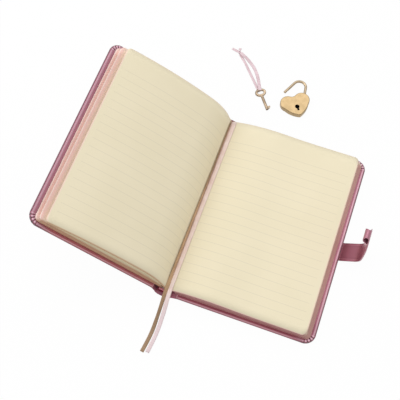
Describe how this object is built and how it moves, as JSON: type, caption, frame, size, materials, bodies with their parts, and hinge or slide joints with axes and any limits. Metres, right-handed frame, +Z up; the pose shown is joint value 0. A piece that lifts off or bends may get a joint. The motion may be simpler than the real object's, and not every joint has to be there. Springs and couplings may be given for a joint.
{
  "type": "diary with lock",
  "caption": "Open clasp diary: two hinged PU covers, ruled leaves and a strap with a loop for a small heart padlock; the lock, its key and ribbon page markers lie with it.",
  "frame": {"origin": "centre of the face that the back cover rests on", "axes": "+X from the spine to the fore edge of the back cover, +Y from tail to head, +Z up from the table"},
  "size_m": [0.2643, 0.3199, 0.0807],
  "materials": {
    "pu_pink": "metallic sheen",
    "board_grey": "matt",
    "paper_cream": "matt",
    "endpaper_pink": "matt",
    "cloth_white": "matt",
    "band_pink": "satin",
    "lock_gold": "polished",
    "key_gold": "polished",
    "ribbon_gold": "satin",
    "ribbon_pink": "satin"
  },
  "bodies": {
    "back_case": {"back_board": "board_grey", "back_cover_skin": "pu_pink", "back_pastedown": "endpaper_pink", "back_flyleaf": "endpaper_pink", "page_section_1": "paper_cream", "page_section_2": "paper_cream", "page_section_3": "paper_cream", "block_crepe": "cloth_white"},
    "spine": {"spine_skin": "pu_pink", "spine_card": "board_grey", "spine_lining": "cloth_white", "head_band": "band_pink", "tail_band": "band_pink"},
    "front_cover": {"front_board": "board_grey", "front_cover_skin": "pu_pink", "front_pastedown": "endpaper_pink", "lock_staple": "lock_gold", "staple_rivets": "lock_gold"},
    "open_section": {"open_section": "paper_cream", "bookmark_gold": "ribbon_gold", "bookmark_pink": "ribbon_pink"},
    "turning_leaf": {"turning_leaf": "paper_cream"},
    "left_leaves_top": {"left_leaves_top": "paper_cream"},
    "left_leaves_middle": {"left_leaves_middle": "paper_cream"},
    "front_flyleaf": {"front_flyleaf": "endpaper_pink"},
    "strap_wrap": {"strap_wrap": "pu_pink"},
    "strap_flap": {"strap_flap": "pu_pink"},
    "padlock": {"lock_case": "lock_gold", "lock_face": "lock_gold", "key_post": "lock_gold", "shackle_pivot": "lock_gold"},
    "shackle": {"shackle": "lock_gold"},
    "lock_bolt": {"lock_bolt": "lock_gold"},
    "key": {"key": "key_gold", "key_ribbon_over": "ribbon_pink", "key_ribbon_under": "ribbon_pink", "key_ribbon_knot": "ribbon_pink", "key_ribbon_tail_long": "ribbon_pink", "key_ribbon_tail_short": "ribbon_pink"}
  },
  "joints": [
    {"name": "spine_hinge", "type": "hinge", "parent": "back_case", "child": "spine", "pos_m": [-0.0648, 0, 0.0013], "axis": [0, 1, 0], "range_deg": [-14.6, 73.6]},
    {"name": "front_cover_hinge", "type": "hinge", "parent": "spine", "child": "front_cover", "pos_m": [-0.0811, 0, 0.00613], "axis": [0, 1, 0], "range_deg": [-14.6, 73.6]},
    {"name": "open_section_slide", "type": "slide", "parent": "back_case", "child": "open_section", "axis": [1, 0, 0], "range_m": [-0.00124, 0.0063], "deforming": ["bookmark_gold", "bookmark_pink"]},
    {"name": "turning_leaf_hinge", "type": "hinge", "parent": "open_section", "child": "turning_leaf", "pos_m": [-0.07045, 0, 0.0082], "axis": [0, 1, 0], "range_deg": [-136, 0], "deforming": ["turning_leaf"]},
    {"name": "left_leaves_top_hinge", "type": "hinge", "parent": "spine", "child": "left_leaves_top", "pos_m": [-0.07263, 0, 0.01009], "axis": [0, 1, 0], "range_deg": [-13.87, 69.5], "deforming": ["left_leaves_top"]},
    {"name": "left_leaves_middle_hinge", "type": "hinge", "parent": "spine", "child": "left_leaves_middle", "pos_m": [-0.0752, 0, 0.00772], "axis": [0, 1, 0], "range_deg": [-14.11, 70.7], "deforming": ["left_leaves_middle"]},
    {"name": "front_flyleaf_hinge", "type": "hinge", "parent": "spine", "child": "front_flyleaf", "pos_m": [-0.07664, 0, 0.00815], "axis": [0, 1, 0], "range_deg": [-14.68, 73.6], "deforming": ["front_flyleaf"]},
    {"name": "strap_wrap_hinge", "type": "hinge", "parent": "back_case", "child": "strap_wrap", "pos_m": [0.0629, -0.0015, 0.0015], "axis": [0, -1, 0], "range_deg": [-30, 53.4]},
    {"name": "strap_flap_hinge", "type": "hinge", "parent": "strap_wrap", "child": "strap_flap", "pos_m": [0.07703, -0.0015, 0.01199], "axis": [0, -1, 0], "range_deg": [-50, 31.7]},
    {"name": "padlock_lift", "type": "slide", "parent": "back_case", "child": "padlock", "axis": [0, 0, 1], "range_m": [0, 0.05]},
    {"name": "shackle_hinge", "type": "hinge", "parent": "padlock", "child": "shackle", "pos_m": [-0.01388, 0.13823, 0.0025], "axis": [0, 0, 1], "range_deg": [-30, 36]},
    {"name": "lock_bolt_slide", "type": "slide", "parent": "padlock", "child": "lock_bolt", "axis": [-0.809, -0.5878, 0], "range_m": [0, 0.0011]},
    {"name": "key_lift", "type": "slide", "parent": "back_case", "child": "key", "axis": [0, 0, 1], "range_m": [0, 0.05]}
  ],
  "couplings": [
    {"joint": "spine_hinge", "follows": "open_section_slide", "rad_per_m": 203.62},
    {"joint": "front_cover_hinge", "follows": "open_section_slide", "rad_per_m": 203.62},
    {"joint": "left_leaves_top_hinge", "follows": "open_section_slide", "rad_per_m": 191.99},
    {"joint": "left_leaves_middle_hinge", "follows": "open_section_slide", "rad_per_m": 195.31},
    {"joint": "front_flyleaf_hinge", "follows": "open_section_slide", "rad_per_m": 203.34}
  ]
}
